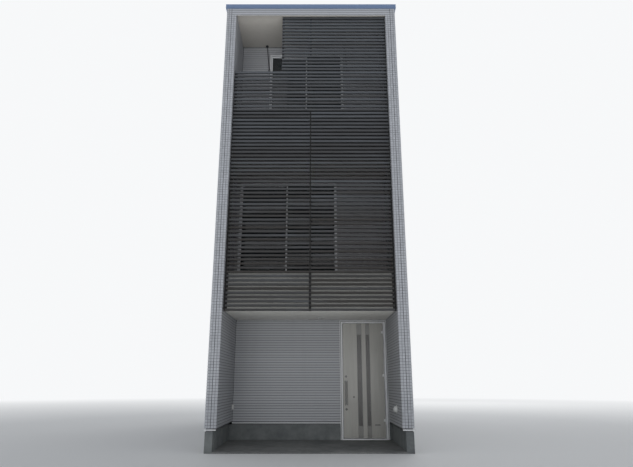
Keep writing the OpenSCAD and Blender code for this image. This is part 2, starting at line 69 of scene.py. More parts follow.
print("house box", [round(v, 3) for corner in cad_box for v in corner])


def show(name, data):
    """Puts an object with this mesh, lamp or camera into the scene."""
    thing = bpy.data.objects.new(name, data)
    scene.collection.objects.link(thing)
    return thing


# %% [markdown]
# ## Where the viewer stands
# The house is seen from across a small street, a little right of its middle,
# with the camera held near the hip and tilted up. A lens of 30 mm takes in
# the whole front from the ground to the roof.

# %% Camera
FRONT_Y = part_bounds("side_wall_right")[0][1]
PHOTO_WIDTH = 633
FOCAL_PIXELS = 526.5
SENSOR_MM = 36
DISTANCE = 9.558
RIGHT_OF_MIDDLE = 0.121
EYE_HEIGHT = 1.134
TILT_UP = 15.95
camera_data = bpy.data.cameras.new("street_camera")
camera_data.sensor_width = SENSOR_MM
camera_data.lens = FOCAL_PIXELS / PHOTO_WIDTH * SENSOR_MM
camera = show("street_camera", camera_data)
camera.location = (RIGHT_OF_MIDDLE, FRONT_Y - DISTANCE, EYE_HEIGHT)
camera.rotation_euler = (math.radians(90 + TILT_UP), 0, 0)
bpy.context.scene.camera = camera
print("lens", round(camera_data.lens, 2), "mm")

# %% [markdown]
# ## Light
# The front lies in open shade: the sky lights it softly from all sides, and the
# bright street lights it from in front and below. A pale world, one wide, low
# lamp and one that lies on the street do that. Both fan out less than a bare
# lamp, and the first is aimed at the roof, so that the foot gets less of it. A
# third stands behind the house. The camera doesn't see the lamps.

# %% Lamps
scene.view_settings.view_transform = "Standard"


def add_lamp(name, size, place, target, power, spread=180):
    """An area lamp, given its width and height, that looks at a point."""
    data = bpy.data.lights.new(name, "AREA")
    data.shape = "RECTANGLE"
    data.size, data.size_y = size
    data.energy = power
    data.spread = math.radians(spread)
    lamp = show(name, data)
    lamp.location = place
    lamp.rotation_euler = (Vector(target) - Vector(place)).to_track_quat("-Z", "Y").to_euler()
    lamp.visible_camera = False


add_lamp("street_light", (18, 3), place=(-1, -22, 1.6), target=(0, FRONT_Y, 12), power=340, spread=110)
add_lamp("street_bounce", (12, 6), place=(0, -8.2, 0.03), target=(0, -8.1, 10), power=150, spread=110)
add_lamp("rear_light", (14, 10), place=(9, 24, 12), target=(0, 0, 4), power=1500)

# %% [markdown]
# ## Sums on sockets
# A material's pattern is easier to read as a formula than as a list of nodes.
# `Signal` wraps a socket, so that `1 - mask * 0.5` adds the Math nodes for it.
# `Graph.add` makes any other node: its settings come first, then its inputs.


# %% Signal and Graph
class Signal:
    """An output socket that can stand in a sum."""

    def __init__(self, graph, socket):
        self.graph = graph
        self.socket = socket

    def math(self, operation, *others):
        return self.graph.add("ShaderNodeMath", {"operation": operation}, self, *others)

    def __add__(self, other):
        return self.math("ADD", other)

    def __sub__(self, other):
        return self.math("SUBTRACT", other)

    def __rsub__(self, other):
        return self.graph.add("ShaderNodeMath", {"operation": "SUBTRACT"}, other, self)

    def __mul__(self, other):
        return self.math("MULTIPLY", other)

    __radd__ = __add__
    __rmul__ = __mul__


class Graph:
    """A node tree that is filled one node at a time."""

    def __init__(self, tree):
        self.tree = tree

    def feed(self, socket, value):
        """Links a signal or sets a value. A colour of three numbers is opaque."""
        if isinstance(value, Signal):
            self.tree.links.new(value.socket, socket)
        elif socket.type == "RGBA":
            socket.default_value = (*value, 1)
        else:
            socket.default_value = value

    def add(self, kind, settings=None, *values, output=0, **named):
        node = self.tree.nodes.new(kind)
        for setting, value in (settings or {}).items():
            setattr(node, setting, value)
        for index, value in enumerate(values):
            self.feed(node.inputs[index], value)
        for name, value in named.items():
            self.feed(node.inputs[name.replace("_", " ")], value)
        return Signal(self, node.outputs[output])


# %% [markdown]
# ## Sky
# The world lights the house evenly. What the camera, glass and polished metal
# see of it is plain white, so the backdrop is white without more light on the
# house.

# %% World
SKY_LIGHT = (0.90, 0.94, 1.0)
SKY_STRENGTH = 0.52
BACKDROP_WHITE = (0.93, 0.94, 0.95)
CAMERA_RAY, GLOSSY_RAY, TRANSMISSION_RAY = 0, 3, 6
world = bpy.data.worlds.new("open_sky")
scene.world = world
world.use_nodes = True
sky = Graph(world.node_tree)
seen, glossy, through = (
    sky.add("ShaderNodeLightPath", output=ray) for ray in (CAMERA_RAY, GLOSSY_RAY, TRANSMISSION_RAY)
)
lit = sky.add("ShaderNodeBackground", None, SKY_LIGHT, SKY_STRENGTH)
white = sky.add("ShaderNodeBackground", None, BACKDROP_WHITE, 1)
shown = seen.math("MAXIMUM", glossy).math("MAXIMUM", through)
backdrop = sky.add("ShaderNodeMixShader", None, shown, lit, white)
world.node_tree.links.new(backdrop.socket, world.node_tree.nodes["World Output"].inputs["Surface"])

# %% [markdown]
# ## A finish
# Each finish is one Principled shader. `Finish` adds the few patterns that
# building materials share: noise in metres on the object's own coordinates,
# streaks that rain draws down a wall, and a bump in millimetres.


# %% Finish
def times(colour, factor):
    """A colour made darker or lighter."""
    return tuple(part * factor for part in colour)


class Finish(Graph):
    """A material with one Principled shader, made from patterns in metres."""

    def __init__(self, name, metallic=0.0, coat=0.0):
        self.material = bpy.data.materials.new(name)
        self.material.use_nodes = True
        super().__init__(self.material.node_tree)
        self.shader = self.tree.nodes["Principled BSDF"]
        self.shader.inputs["Metallic"].default_value = metallic
        self.shader.inputs["Coat Weight"].default_value = coat
        self.place = self.add("ShaderNodeTexCoord", output=3)

    def stretched(self, scale):
        """Object coordinates with a scale for each axis."""
        return self.add("ShaderNodeMapping", None, self.place, Scale=scale)

    def noise(self, scale, detail=3.0, where=None, roughness=0.55):
        inputs = {"Vector": where or self.place, "Scale": scale, "Detail": detail, "Roughness": roughness}
        return self.add("ShaderNodeTexNoise", **inputs)

    def band(self, value, low, high):
        """0 below low, 1 above high."""
        return self.add("ShaderNodeMapRange", None, value, low, high)

    def mix(self, factor, first, second, blend="MIX"):
        node = self.tree.nodes.new("ShaderNodeMix")
        node.data_type = "RGBA"
        node.blend_type = blend
        for index, value in ((0, factor), (6, first), (7, second)):
            self.feed(node.inputs[index], value)
        return Signal(self, node.outputs[2])

    def altitude(self):
        """The height above the ground, in metres."""
        return self.add("ShaderNodeSeparateXYZ", None, self.place, output=2)

    def tone(self):
        """The value that tells one bar from the next, from 0 to 1."""
        return self.add("ShaderNodeAttribute", {"attribute_name": "tone"}, output=2)

    def shade(self, colour, roughness, height=None, depth_mm=1.0, alpha=None):
        """Plugs patterns into the shader; height becomes a bump."""
        if height is not None:
            height = self.add("ShaderNodeBump", None, Height=height, Distance=depth_mm / 1000)
        patterns = {"Base Color": colour, "Roughness": roughness, "Alpha": alpha, "Normal": height}
        for socket, value in patterns.items():
            if value is not None:
                self.feed(self.shader.inputs[socket], value)
        return self.material


def rain_streaks(finish, fineness=6.0):
    """Faint vertical marks, stronger in some places than in others."""
    lines = finish.noise(fineness, 4, finish.stretched((1, 1, 0.06)))
    patches = finish.noise(0.7, 2)
    return finish.band(lines, 0.5, 0.75) * finish.band(patches, 0.35, 0.7)


# %% [markdown]
# ## Ceramic siding
# The walls are fibre cement boards with a baked white face. Up close the face
# is faintly grainy, each row differs a little from the next, and rain has left
# soft grey streaks. The rows carry an attribute `tone` for that difference. The
# wall behind the lower half of the screen gets a darker copy: painted shade.


# %% Siding finishes
def make_siding(name, colour, dirt, spread):
    """A baked face; spread is how much one row or tile may differ from the next."""
    finish = Finish(name, coat=0.05)
    grain = finish.noise(420, 2)
    cloud = finish.noise(1.3, 3)
    light = 0.98 - spread / 2 + finish.tone() * spread + cloud * 0.05
    face = finish.mix(rain_streaks(finish) * dirt, colour, times(colour, 0.78))
    grey = finish.add("ShaderNodeCombineColor", None, light, light, light)
    face = finish.mix(1.0, face, grey, "MULTIPLY")
    return finish.shade(face, 0.36 + grain * 0.16, grain, 0.25)


siding = make_siding("ribbed_siding", (0.43, 0.44, 0.46), dirt=0.40, spread=0.06)
# A darker copy for the wall behind the lower screen: painted shade.
shade_painted_siding = make_siding("sheltered_siding", (0.30, 0.30, 0.31), dirt=0.5, spread=0.06)
tile_glaze = make_siding("mosaic_glaze", (0.43, 0.445, 0.475), dirt=0.25, spread=0.16)


# The groove colour is far darker than the siding: painted shade down in the grooves between the rows, and the
# grout between the tiles.
def make_groove():
    finish = Finish("siding_groove")
    speck = finish.noise(60, 4)
    colour = finish.mix(speck, (0.14, 0.14, 0.15), (0.21, 0.21, 0.22))
    return finish.shade(colour, 0.8, speck, 0.4)


groove_shade_and_grout = make_groove()

# %% [markdown]
# ## Plain boards
# The soffits and the loggia ceilings are smooth painted boards. Their colour
# drifts only slightly, and the paint has the orange peel of a roller. The
# loggia floors have a grey waterproof coat of much the same kind.


# %% Painted boards
def make_board(name, colour, drift=0.06):
    finish = Finish(name)
    cloud = finish.noise(0.9, 3)
    peel = finish.noise(260, 2)
    darkening = cloud * 0.6 + rain_streaks(finish, 9) * 0.5
    face = finish.mix(darkening, colour, times(colour, 1 - drift * 3))
    return finish.shade(face, 0.42 + cloud * 0.16, peel, 0.15)


soffit_paint = make_board("soffit_paint", (0.90, 0.88, 0.82))
ceiling_paint = make_board("ceiling_paint", (0.60, 0.575, 0.53))
fascia_paint = make_board("fascia_paint", (0.40, 0.40, 0.375), drift=0.1)
# The dark paint is painted shade, for the fascia behind the upper screen and the strips in the ceilings' rear
# corners.
dark_paint = make_board("dark_paint", (0.035, 0.037, 0.042))
floor_coat = make_board("floor_coat", (0.30, 0.31, 0.31), drift=0.08)

# %% [markdown]
# ## Concrete
# The foundation was cast in board forms and the porch slab was trowelled. Both
# are mottled at three scales, with pin holes, and the foot of the foundation is
# darker where the ground keeps it damp.


# %% Concrete
def make_concrete(name, light, dark, damp_height=0.12):
    finish = Finish(name)
    broad = finish.noise(1.6, 4)
    middle = finish.noise(9, 5)
    fine = finish.noise(140, 3)
    pores = finish.add("ShaderNodeTexVoronoi", None, Vector=finish.place, Scale=55.0)
    holes = 1 - finish.band(pores, 0.05, 0.16)
    blotch = finish.band(broad * 0.6 + middle * 0.4, 0.35, 0.65)
    colour = finish.mix(blotch, dark, light)
    damp = (1 - finish.band(finish.altitude() + middle * 0.06, 0.0, damp_height)) * 0.35
    # The pin holes are painted darker: painted shade in them. Damp and rain streaks darken the rest.
    darkening = damp + holes * 0.3 + rain_streaks(finish, 5) * 0.35
    colour = finish.mix(darkening, colour, times(dark, 0.5))
    return finish.shade(colour, 0.72 + fine * 0.2, fine * 0.4 + middle - holes * 0.8, 1.2)


foundation_concrete = make_concrete("foundation_concrete", (0.225, 0.24, 0.235), (0.12, 0.13, 0.135))
slab_concrete = make_concrete("slab_concrete", (0.19, 0.195, 0.19), (0.10, 0.105, 0.105), damp_height=0.02)

# %% [markdown]
# ## Weathered timber
# The slats are dark stained cedar that has greyed at different speeds. The
# grain runs along X, so the noise is squeezed a lot in Y and Z. Every slat has
# its own `tone`, which shifts it between brown and grey, and the slats are
# painted greyer and lighter the higher they hang.

# %% Timber
GREYER_FROM_Z = 3.4
GREYEST_AT_Z = 8.4


def make_timber(name, brown, grey, dark):
    finish = Finish(name)
    grain = finish.noise(1.0, 6, finish.stretched((3.0, 160, 160)), 0.65)
    fibre = finish.noise(1.0, 3, finish.stretched((14, 900, 900)))
    worn = finish.noise(1.0, 4, finish.stretched((1.1, 9, 9)))
    # Higher slats are painted greyer and lighter, from 3.4 m up to 8.4 m.
    height_share = finish.band(finish.altitude(), GREYER_FROM_Z, GREYEST_AT_Z)
    age = finish.tone() * 0.5 + worn * 0.5 + height_share * 0.8
    colour = finish.mix(finish.band(age, 0.35, 1.35), brown, grey)
    colour = finish.mix(finish.band(grain, 0.50, 0.75) * 0.55, colour, dark)
    pale = finish.band(worn, 0.60, 0.78) * finish.band(fibre, 0.4, 0.65) * 0.35
    colour = finish.mix(pale, colour, times(grey, 1.9))
    return finish.shade(colour, 0.68 + grain * 0.25, grain * 0.7 + fibre * 0.3, 1.2)


slat_timber = make_timber("slat_timber", (0.031, 0.028, 0.026), (0.098, 0.107, 0.119), (0.02, 0.018, 0.018))
# The posts are painted darker than the slats: painted shade behind the screen.
post_timber = make_timber("post_timber", (0.022, 0.021, 0.021), (0.03, 0.03, 0.031), (0.014, 0.014, 0.014))

# %% [markdown]
# ## Coated metal
# The roof trim is folded from coated steel: satin, dull blue and slightly wavy
# between its fixings. The sheet on top has faded a little. Window and door
# frames are powder coated aluminium, and the door's fittings brushed steel.


# %% Metals
def make_coated_metal(name, colour, roughness, wave_mm=0.6, metallic=0.0, streak=0.25):
    finish = Finish(name, metallic, coat=0.1)
    wave = finish.noise(2.2, 2, finish.stretched((1, 1, 0.5)))
    peel = finish.noise(500, 2)
    dull = rain_streaks(finish, 8)
    face = finish.mix(dull * streak + wave * 0.12, colour, times(colour, 0.72))
    return finish.shade(face, roughness + dull * 0.15 + peel * 0.06, wave + peel * 0.02, wave_mm)


roof_metal = make_coated_metal("roof_metal", (0.150, 0.220, 0.370), 0.38, wave_mm=2.0)
roof_faded = make_coated_metal("faded_roof_metal", (0.155, 0.200, 0.285), 0.42, wave_mm=2.0)
white_aluminium = make_coated_metal("white_aluminium", (0.80, 0.81, 0.82), 0.34, wave_mm=0.2, streak=0.12)
dark_rod = make_coated_metal("dark_rod", (0.03, 0.03, 0.035), 0.35, wave_mm=0.1)
dark_lock = make_coated_metal("dark_lock", (0.09, 0.09, 0.09), 0.3, wave_mm=0.05, metallic=0.7, streak=0.05)


def make_brushed_steel(name, colour, along=(900, 900, 12)):
    finish = Finish(name, metallic=0.9)
    lines = finish.noise(1.0, 3, finish.stretched(along))
    face = finish.mix(lines * 0.5, colour, times(colour, 0.7))
    return finish.shade(face, 0.24 + lines * 0.22, lines, 0.08)


# The pull bar and the strips are painted much darker than bare steel: a painted reflection of a dark street,
# and on the strips painted shade from their recess.
upright_steel = make_brushed_steel("upright_steel", (0.19, 0.19, 0.185))
strip_steel = make_brushed_steel("strip_steel", (0.13, 0.13, 0.127))
small_steel = make_brushed_steel("small_steel", (0.46, 0.47, 0.49), along=(400, 400, 400))

# %% [markdown]
# ## Door skin
# The leaf is sheet steel printed and embossed as pale ash: fine upright lines
# in warm grey, with a faint metal sheen.


# %% Door skin
def make_door_skin():
    finish = Finish("pale_ash_steel", metallic=0.15, coat=0.1)
    grain = finish.noise(1.0, 6, finish.stretched((190, 190, 3.2)), 0.62)
    broad = finish.noise(1.0, 3, finish.stretched((16, 16, 0.9)))
    figure = finish.band(grain * 0.65 + broad * 0.35, 0.36, 0.66)
    face = finish.mix(figure, (0.305, 0.30, 0.278), (0.395, 0.39, 0.362))
    return finish.shade(face, 0.34 + grain * 0.16, grain, 0.35)


door_skin = make_door_skin()

# %% [markdown]
# ## Glass and small plastics
# The rooms behind the panes are dark, so the glass is mostly a dark mirror. A
# little alpha lets the nearest things show through. The door's slits are glazed
# with frosted glass. Vent, outlet and lamp are moulded white plastic.


# %% Glass and plastics
def make_glass(name, colour, alpha, frost=0.03):
    finish = Finish(name, coat=0.3 if frost < 0.1 else 0)
    sway = finish.noise(1.1, 2)
    haze = finish.noise(30, 3)
    face = finish.mix(haze * 0.4, colour, times(colour, 1.6))
    return finish.shade(face, frost + haze * 0.05, sway, 1.5, alpha=alpha)


window_glass = make_glass("window_glass", (0.022, 0.028, 0.032), 0.82)
door_glass = make_glass("door_glass", (0.05, 0.047, 0.045), 0.95, frost=0.24)


def make_plastic(name, colour, roughness=0.4):
    finish = Finish(name)
    grain = finish.noise(900, 2)
    cloud = finish.noise(12, 2)
    face = finish.mix(cloud * 0.3, colour, times(colour, 0.8))
    return finish.shade(face, roughness + grain * 0.12, grain, 0.1)


white_plastic = make_plastic("white_plastic", (0.68, 0.68, 0.66))
black_rubber = make_plastic("black_rubber", (0.025, 0.025, 0.027), 0.7)
sealant = make_plastic("sealant", (0.09, 0.09, 0.10), 0.65)
lamp_lens = make_plastic("lamp_lens", (0.80, 0.80, 0.78), 0.25)

# %% [markdown]
# ## Finishes on the imported pieces
# Most pieces of the frame already have the right shape, so they only get their
# finish. The walls get the dark groove colour, painted shade between the rows
# of siding that are laid over them next. What is missing here gets a better
# shape further down, and its finish with it.

# %% Hand out the finishes
FINISHES = {
    foundation_concrete: ["foundation_left", "foundation_right", "foundation_cross_walls", "ground_floor"],
    slab_concrete: ["porch_slab"],
    floor_coat: ["second_floor", "third_floor"],
    post_timber: ["roof_deck"],
    groove_shade_and_grout: ["side_wall_left", "side_wall_right", "porch_wall", "third_loggia_wall", "rear_wall"],
    soffit_paint: ["porch_soffit"],
    fascia_paint: ["second_floor_fascia"],
    # The third floor's fascia is painted dark: painted shade behind the screen.
    dark_paint: ["third_floor_fascia"],
    roof_metal: ["roof_front_trim", "roof_side_trims"],
    roof_faded: ["roof_sheet"],
    white_aluminium: [
        "gutter", "downpipe", "rear_window_frames", "rear_window_sashes", "door_frame", "frame_hinges",
        "door_hinges",
    ],
    door_glass: ["door_glass"],
    dark_rod: ["laundry_hangers"],
    white_plastic: ["porch_downlight", "outlet_box", "vent_hood"],
    upright_steel: ["door_handles"],
    strip_steel: ["door_strips"],
    dark_lock: ["door_locks"],
    door_skin: ["door_leaf"],
}
for material, names in FINISHES.items():
    for node_name in names:
        slots = nodes[node_name].data.materials
        slots.clear()
        slots.append(material)
print("finished", sum(len(names) for names in FINISHES.values()), "of", len(nodes), "packed pieces")

# %% [markdown]
# ## Rows of siding
# A siding board is 455 mm high and carries nine rows, each a raised bar with a
# groove below it. The rows start at the foot of the siding. They are cut where
# a window interrupts them, where the roof comes down and where a soft joint
# parts two boards, which are at most 3.03 m long.

# %% Row layout
ROW_PITCH = 0.455 / 9
GROOVE = 0.010
PROUD = 0.005
SOFT_JOINT = 0.010
THINNEST = 0.006
BOARD_LENGTH = 3.03
ROOF_FALL = 0.05
TRIM_DROP = 0.036
FASCIA_DEPTH = 0.018
CURTAIN = 0.018
BEAM_LIFT = 0.012

wall_low, wall_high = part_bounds("side_wall_right")
INNER_X, OUTER_X = wall_low.x, wall_high.x
REAR_Y, WALL_TOP = wall_high.y, wall_high.z
FOOT = 0.402
SCREEN_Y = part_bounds("screen_top")[0].y
FASCIA_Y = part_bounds("second_floor_fascia")[0].y
PORCH_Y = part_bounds("porch_wall")[0].y
LOGGIA_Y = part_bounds("second_loggia_wall")[0].y
SOFFIT_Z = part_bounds("porch_soffit")[0].z
BEAM_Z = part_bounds("front_beam")[0].z + BEAM_LIFT
TRIM_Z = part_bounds("roof_front_trim")[0].z
SECOND_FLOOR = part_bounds("second_floor")[1].z
THIRD_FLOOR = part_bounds("third_floor")[1].z
LOGGIA_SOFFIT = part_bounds("loggia_ceilings")[0].z
TOP_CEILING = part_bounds("screen_top")[1].z
SLAT_PITCH = 0.0787
OPENING_EDGE, _, packed_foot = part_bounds("screen_top")[0]
OPENING_FOOT = packed_foot + SLAT_PITCH
STOREYS = ((0, SOFFIT_Z), (SECOND_FLOOR, LOGGIA_SOFFIT), (THIRD_FLOOR, TOP_CEILING))
BOARD_JOINTS = [FRONT_Y + BOARD_LENGTH * count for count in (1, 2)]
PIVOT_DEPTH = 1.075
print("rows in the full height", int((WALL_TOP - FOOT) / ROW_PITCH))


# %% Rows
def ceiling_height(y):
    """The upper ceiling falls with the roof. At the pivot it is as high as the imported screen."""
    return TOP_CEILING + ROOF_FALL * (FRONT_Y + PIVOT_DEPTH - y)


def siding_rows(low, high):
    """The rows between two heights, as (bottom, top)."""
    for row in range(int((low - FOOT) // ROW_PITCH), int((high - FOOT) // ROW_PITCH) + 1):
        bottom = max(low, FOOT + row * ROW_PITCH + GROOVE / 2)
        top = min(high, FOOT + (row + 1) * ROW_PITCH - GROOVE / 2)
        if top - bottom > THINNEST:
            yield bottom, top


def spans_beside(low, high, holes):
    """What is left of a stretch when holes (start, end) are taken out."""
    start = low
    for hole_low, hole_high in sorted(holes):
        if start < min(hole_low, high):
            yield start, min(hole_low, high)
        start = max(start, hole_high)
    if start < high:
        yield start, high


def cross_rows(y, facing, x_range, z_range, holes=()):
    """Rows on a wall that faces the street (-1) or the rear (1). A hole is left, right, bottom, top."""
    near, far = sorted((y, y + facing * PROUD))
    for bottom, top in siding_rows(*z_range):
        met = [hole for hole in holes if hole[2] < top and hole[3] > bottom]
        for start, end in spans_beside(*x_range, [hole[:2] for hole in met]):
            yield (start, near, bottom), (end, far, top)
        for left, right, low, high in met:
            for part_low, part_high in ((bottom, min(top, low)), (max(bottom, high), top)):
                if part_high - part_low > THINNEST:
                    yield (left, near, part_low), (right, far, part_high)


def side_rows(x, facing, y_range, z_range):
    """Rows on a wall that faces left (-1) or right (1), in boards, up to the roof's side trim."""
    near, far = sorted((x, x + facing * PROUD))
    gaps = [(joint, joint + SOFT_JOINT) for joint in BOARD_JOINTS]
    for bottom, top in siding_rows(*z_range):
        end = min(y_range[1], FRONT_Y + (WALL_TOP - TRIM_DROP - bottom) / ROOF_FALL)
        for start, stop in spans_beside(y_range[0], end, gaps):
            yield (near, start, bottom), (far, stop, top)


# %% [markdown]
# ## Trees on points
# Geometry Nodes make whatever repeats. A tree sets a small shape on each point
# of a mesh, and an attribute of the points says how large it is or which way it
# faces. Its result is kept as a plain mesh that rides on a body.


# %% Start, end and run a tree
def start_tree(name, **inputs):
    """A new tree, and a signal for each of its inputs."""
    tree = bpy.data.node_groups.new(name, "GeometryNodeTree")
    for label, kind in inputs.items():
        tree.interface.new_socket(label, in_out="INPUT", socket_type="NodeSocket" + kind)
    tree.interface.new_socket("Geometry", in_out="OUTPUT", socket_type="NodeSocketGeometry")
    graph = Graph(tree)
    given = tree.nodes.new("NodeGroupInput").outputs
    return graph, *(Signal(graph, socket) for socket in given[:-1])


def end_tree(graph, shape, finish):
    """Gives the shape its finish and makes it the tree's result."""
    done = graph.add("GeometryNodeSetMaterial", Geometry=shape, Material=finish)
    graph.tree.links.new(done.socket, graph.tree.nodes.new("NodeGroupOutput").inputs[0])
    return graph.tree


def named_values(graph, name, kind="FLOAT_VECTOR"):
    return graph.add("GeometryNodeInputNamedAttribute", {"data_type": kind}, name)


def keep(piece, body):
    """Lets a piece ride on a body, and prints how many faces it has."""
    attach(piece, body)
    print(piece.name, len(piece.data.polygons), "faces")
    return piece


def grow(name, tree, places, attribute, vectors, inputs, body=HOUSE, ease=0.0):
    """Runs a tree on points that carry one vector each. A bevel eases the edges."""
    points = bpy.data.meshes.new(name + "_points")
    points.from_pydata(places, [], [])
    points.attributes.new(attribute, "FLOAT_VECTOR", "POINT").data.foreach_set("vector", vectors)
    seeds = show(points.name, points)
    grower = seeds.modifiers.new("grow", "NODES")
    grower.node_group = tree
    for item in tree.interface.items_tree:
        if item.in_out == "INPUT" and item.name in inputs:
            grower[item.identifier] = inputs[item.name]
    if ease:
        bevel = seeds.modifiers.new("ease", "BEVEL")
        bevel.width = ease
        bevel.segments = 1
        bevel.limit_method = "ANGLE"
        bevel.angle_limit = math.radians(40)
    bpy.context.view_layer.update()
    evaluated = seeds.evaluated_get(bpy.context.evaluated_depsgraph_get())
    mesh = bpy.data.meshes.new_from_object(evaluated)
    bpy.data.objects.remove(seeds)
    bpy.data.meshes.remove(points)
    return keep(show(name, mesh), body)


# %% [markdown]
# Rows, tiles, slats, gaskets and joints are all bars of some length, depth and
# height. One tree makes them all. It puts a box on every point, scales it to
# the point's `size`, gives it a random `tone` for the finish, and can let it
# wander a little, as sawn timber does.


# %% Bars
def make_bar_tree():
    graph, points, cuts, waver, seed, finish = start_tree(
        "bars_on_points", Geometry="Geometry", Cuts="Int", Waver="Float", Seed="Int", Finish="Material"
    )
    box = graph.add("GeometryNodeMeshCube", None, (1, 1, 1), cuts, 2, 2)
    size = named_values(graph, "size")
    placed = graph.add("GeometryNodeInstanceOnPoints", Points=points, Instance=box, Scale=size)
    tone = graph.add("FunctionNodeRandomValue", {"data_type": "FLOAT"}, output=1, Seed=seed)
    store = {"data_type": "FLOAT", "domain": "INSTANCE"}
    toned = graph.add("GeometryNodeStoreNamedAttribute", store, Geometry=placed, Name="tone", Value=tone)
    solid = graph.add("GeometryNodeRealizeInstances", None, toned)
    own_tone = named_values(graph, "tone", "FLOAT")
    place = graph.add("GeometryNodeInputPosition")
    cloud = {"noise_dimensions": "4D"}
    drift = graph.add("ShaderNodeTexNoise", cloud, output=1, Vector=place, W=own_tone * 90, Scale=1.6)
    middle = graph.add("ShaderNodeVectorMath", {"operation": "SUBTRACT"}, drift, (0.5, 0.5, 0.5))
    shift = graph.add("ShaderNodeVectorMath", {"operation": "SCALE"}, middle, Scale=waver)
    bent = graph.add("GeometryNodeSetPosition", Geometry=solid, Offset=shift)
    return end_tree(graph, bent, finish)


bar_tree = make_bar_tree()


def grow_bars(name, bars, material, body=HOUSE, ease=0.0015, cuts=2, waver=0.0, seed=1):
    """Makes one piece of bars, each given as its low and high corner."""
    bars = list(bars)
    middles = [[(a + b) / 2 for a, b in zip(*bar)] for bar in bars]
    sizes = [b - a for low, high in bars for a, b in zip(low, high)]
    inputs = {"Cuts": cuts, "Waver": waver, "Seed": seed, "Finish": material}
    return grow(name, bar_tree, middles, "size", sizes, inputs, body, ease)


# %% [markdown]
# ## The lower loggia's window
# Seen through the slats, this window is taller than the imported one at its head
# and foot, and its left jamb stands further right. Copies of its wall, frame,
# sashes and panes have the points round the hole moved.


# %% Boxes and pieces
def corners_of(points):
    """The lowest and the highest corner of some points."""
    points = list(points)
    return [Vector(pick(p[axis] for p in points) for axis in range(3)) for pick in (min, max)]


def part_box(node, axis, low, high):
    """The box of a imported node's points that lie between two values on an axis."""
    places = (v.co for v in nodes[node].data.vertices)
    return corners_of(place for place in places if low <= place["xyz".index(axis)] <= high)


def as_piece(name, mesh, material, body=HOUSE):
    """Turns a bmesh into a piece that rides on a body."""
    bmesh.ops.recalc_face_normals(mesh, faces=mesh.faces)
    data = bpy.data.meshes.new(name)
    mesh.to_mesh(data)
    mesh.free()
    data.materials.append(material)
    return keep(show(name, data), body)


# %% A taller window
LEFT_SHIFT = 0.055
HEAD_SHIFT = 0.063
FOOT_SHIFT = 0.137
MERGE = 0.00001
NEAR_EDGE = 0.1
packed_window = part_box("loggia_window_frames", "z", *STOREYS[1])
window_middle = (packed_window[0] + packed_window[1]) / 2


def window_shift(place):
    """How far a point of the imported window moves."""
    low, high = packed_window
    beside = not low.x - THINNEST < place.x < high.x + THINNEST
    over_or_under = not low.z - THINNEST < place.z < high.z + THINNEST
    if beside or over_or_under or place.y > high.y + NEAR_EDGE:
        return Vector()
    sideways = LEFT_SHIFT if place.x < low.x + NEAR_EDGE else 0
    return Vector((sideways, 0, HEAD_SHIFT if place.z > window_middle.z else -FOOT_SHIFT))


def fitted(node, material):
    """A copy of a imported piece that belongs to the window, in its new size."""
    mesh = bmesh.new()
    mesh.from_mesh(nodes[node].data)
    bmesh.ops.remove_doubles(mesh, verts=mesh.verts, dist=MERGE)
    for vertex in mesh.verts:
        vertex.co += window_shift(vertex.co)
    piece = as_piece(node + "_fitted", mesh, material)
    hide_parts(node)
    return piece


second_window = [corner + window_shift(corner) for corner in packed_window]
fitted("second_loggia_wall", groove_shade_and_grout)
fitted("loggia_window_frames", white_aluminium)
fitted("loggia_window_sashes", white_aluminium)
all_panes = fitted("window_glass", window_glass)
print("lower window", round(second_window[1].z - second_window[0].z, 3), "m high")

# %% [markdown]
# ## Walls across the house
# The porch's wall and the two loggia walls face the street, and the rear wall
# faces away. Each window keeps a ring of sealant round its frame, so the rows
# stop a finger's width before it.


# %% Rows on the cross walls
def window_hole(box):
    """The hole that a window makes in the rows, with its ring of sealant."""
    low, high = box
    return low.x - SOFT_JOINT, high.x + SOFT_JOINT, low.z - SOFT_JOINT, high.z + SOFT_JOINT


def ring(box, y, width, depth):
    """Four bars round a box, in the plane of a wall."""
    low, high = box
    near, far = sorted((y, y + depth))
    for x0, x1 in ((low.x - width, low.x), (high.x, high.x + width)):
        yield (x0, near, low.z - width), (x1, far, high.z + width)
    for z0, z1 in ((low.z - width, low.z), (high.z, high.z + width)):
        yield (low.x, near, z0), (high.x, far, z1)


third_window = part_box("loggia_window_frames", "z", *STOREYS[2])
rear_windows = [part_box("rear_window_frames", "z", *storey) for storey in STOREYS]
frame_low, frame_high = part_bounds("door_frame")
UNDER_GUTTER = 0.06
REAR_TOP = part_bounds("gutter")[1].z - UNDER_GUTTER
REAR_JOINTS = -0.91, 0.91
half = SOFT_JOINT / 2
rear_joints = [(x - half, x + half, FOOT, REAR_TOP) for x in REAR_JOINTS]
door_hole = (frame_low.x, frame_high.x, 0, frame_high.z)
loggia_span = (-INNER_X + SOFT_JOINT, INNER_X - SOFT_JOINT)
third_heights = (THIRD_FLOOR, ceiling_height(LOGGIA_Y))
CROSS_WALLS = {
    "porch_wall_rows": (PORCH_Y, -1, (loggia_span[0], INNER_X), (FOOT, SOFFIT_Z), [door_hole]),
    "second_loggia_rows": (LOGGIA_Y, -1, loggia_span, STOREYS[1], [window_hole(second_window)]),
    "third_loggia_rows": (LOGGIA_Y, -1, loggia_span, third_heights, [window_hole(third_window)]),
    "rear_wall_rows": (
        REAR_Y, 1, (-OUTER_X, OUTER_X), (FOOT, REAR_TOP),
        [window_hole(box) for box in rear_windows] + rear_joints,
    ),
}
for seed, (name, layout) in enumerate(CROSS_WALLS.items(), start=3):
    # The wall behind the lower screen gets the darker copy: painted shade.
    face = shade_painted_siding if name == "second_loggia_rows" else siding
    grow_bars(name, cross_rows(*layout), face, seed=seed)

# %% [markdown]
# ## Side walls
# Outside, the rows run the full depth in three boards. Inside, they line the
# porch and both loggias, and a narrow strip of them shows in front of the
# screen. Beside the opening at the upper left they run through without a break.

